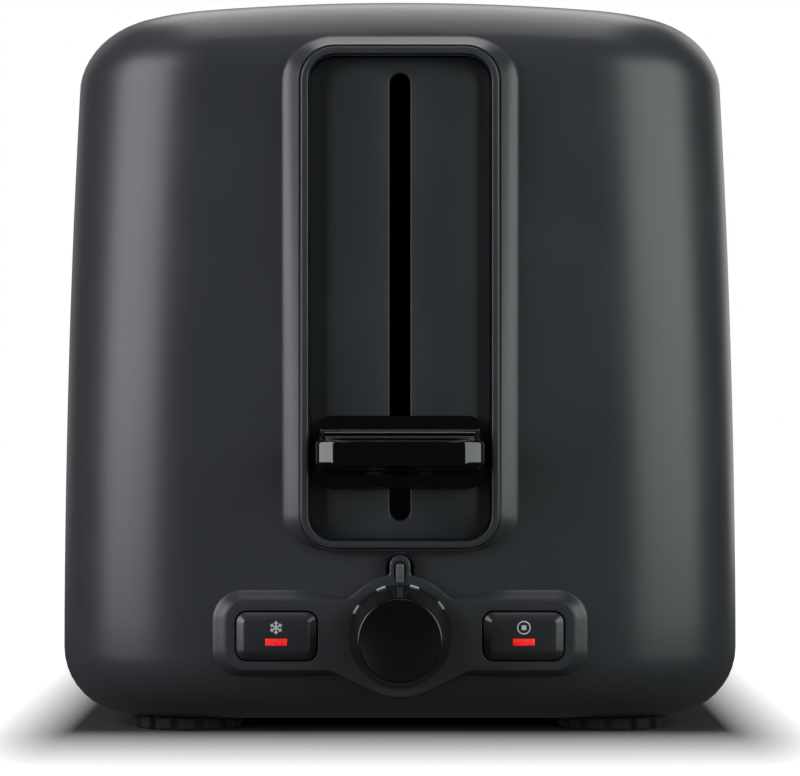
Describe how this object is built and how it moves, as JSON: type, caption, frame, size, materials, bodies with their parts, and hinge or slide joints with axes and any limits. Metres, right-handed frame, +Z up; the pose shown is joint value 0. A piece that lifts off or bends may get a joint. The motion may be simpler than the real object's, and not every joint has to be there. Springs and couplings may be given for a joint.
{
  "type": "pop-up toaster",
  "caption": "Matt anthracite two-slot pop-up toaster with a framed lever on its end, a browning dial and two lit buttons; the lever is latched down.",
  "frame": {"origin": "on the floor, under the middle of the whole toaster's bounding box, lever included", "axes": "+Z up; +Y along the toaster from the lever end to the rear; +X to the right of someone facing the lever end, across the slots"},
  "size_m": [0.185, 0.304, 0.197],
  "materials": {
    "body_plastic": "fine matt moulded texture, anthracite",
    "panel_plastic": "satin, anthracite",
    "gloss_black": "polished piano black",
    "button_plastic": "satin black",
    "black_plastic": "plain black",
    "black_rubber": "matt",
    "red_lens": "clear red light pipe, lit",
    "red_led": "red diffused epoxy",
    "aluminised_steel": "plain rolled sheet",
    "chromed_wire": "bright plated wire",
    "spring_steel": "drawn wire",
    "zinc_steel": "bright zinc plate",
    "mica": "pressed mica sheet",
    "nichrome": "oxidised ribbon",
    "copper": "enamelled winding wire and bare strip",
    "circuit_board": "green solder mask"
  },
  "bodies": {
    "toaster_body": {"base_plate": "black_plastic", "base_screw_front_left": "zinc_steel", "base_screw_front_right": "zinc_steel", "base_screw_rear_left": "zinc_steel", "base_screw_rear_right": "zinc_steel", "board_screw_left": "zinc_steel", "board_screw_right": "zinc_steel", "browning_pot": "black_plastic", "chassis_front": "aluminised_steel", "chassis_rear": "aluminised_steel", "contact_block": "black_plastic", "contact_leaf_left": "copper", "contact_leaf_right": "copper", "control_board": "circuit_board", "cord_gland": "black_rubber", "defrost_led": "red_led", "defrost_switch": "black_plastic", "foot_front_left": "black_rubber", "foot_front_right": "black_rubber", "foot_rear_left": "black_rubber", "foot_rear_right": "black_rubber", "guide_rod_left": "zinc_steel", "guide_rod_right": "zinc_steel", "heat_shield_left": "aluminised_steel", "heat_shield_right": "aluminised_steel", "heater_card_left_inner": "mica", "heater_card_left_outer": "mica", "heater_card_right_inner": "mica", "heater_card_right_outer": "mica", "heater_ribbon_left_inner": "nichrome", "heater_ribbon_left_outer": "nichrome", "heater_ribbon_right_inner": "nichrome", "heater_ribbon_right_outer": "nichrome", "housing": "body_plastic", "lever_panel": "panel_plastic", "magnet_coil": "copper", "magnet_yoke": "zinc_steel", "return_spring": "spring_steel", "slot_frame": "aluminised_steel", "stop_led": "red_led", "stop_switch": "black_plastic"},
    "carriage": {"carriage_bracket": "aluminised_steel", "latch_keeper": "zinc_steel", "lever_arm": "zinc_steel", "lever_knob": "gloss_black", "bread_support_left": "aluminised_steel", "bread_support_right": "aluminised_steel"},
    "defrost_key": {"defrost_button": "button_plastic", "defrost_lens": "red_lens"},
    "stop_key": {"stop_button": "button_plastic", "stop_lens": "red_lens"},
    "browning_control": {"browning_dial": "gloss_black", "browning_shaft": "zinc_steel"},
    "tray": {"crumb_tray": "aluminised_steel", "tray_handle": "body_plastic"},
    "guide_left_inner": {"bread_guide_left_inner": "chromed_wire"},
    "guide_left_outer": {"bread_guide_left_outer": "chromed_wire"},
    "guide_right_inner": {"bread_guide_right_inner": "chromed_wire"},
    "guide_right_outer": {"bread_guide_right_outer": "chromed_wire"}
  },
  "joints": [
    {"name": "carriage_slide", "type": "slide", "parent": "toaster_body", "child": "carriage", "axis": [0, 0, 1], "range_m": [0, 0.092], "deforming": ["return_spring"]},
    {"name": "defrost_press", "type": "slide", "parent": "toaster_body", "child": "defrost_key", "axis": [0, 1, 0], "range_m": [0, 0.0015], "stiffness_N_per_m": 800},
    {"name": "stop_press", "type": "slide", "parent": "toaster_body", "child": "stop_key", "axis": [0, 1, 0], "range_m": [0, 0.0015], "stiffness_N_per_m": 800},
    {"name": "browning_turn", "type": "hinge", "parent": "toaster_body", "child": "browning_control", "pos_m": [0, -0.131, 0.0269], "axis": [0, 1, 0], "range_deg": [-120, 120]},
    {"name": "crumb_tray_slide", "type": "slide", "parent": "toaster_body", "child": "tray", "axis": [0, 1, 0], "range_m": [0, 0.22]},
    {"name": "guide_slide_left_inner", "type": "slide", "parent": "toaster_body", "child": "guide_left_inner", "axis": [1, 0, 0], "range_m": [0, 0.0085]},
    {"name": "guide_slide_left_outer", "type": "slide", "parent": "toaster_body", "child": "guide_left_outer", "axis": [-1, 0, 0], "range_m": [0, 0.0085]},
    {"name": "guide_slide_right_inner", "type": "slide", "parent": "toaster_body", "child": "guide_right_inner", "axis": [-1, 0, 0], "range_m": [0, 0.0085]},
    {"name": "guide_slide_right_outer", "type": "slide", "parent": "toaster_body", "child": "guide_right_outer", "axis": [1, 0, 0], "range_m": [0, 0.0085]}
  ],
  "couplings": [
    {"joint": "guide_slide_left_inner", "follows": "carriage_slide", "ratio": 0.092},
    {"joint": "guide_slide_left_outer", "follows": "carriage_slide", "ratio": 0.092},
    {"joint": "guide_slide_right_inner", "follows": "carriage_slide", "ratio": 0.092},
    {"joint": "guide_slide_right_outer", "follows": "carriage_slide", "ratio": 0.092}
  ]
}
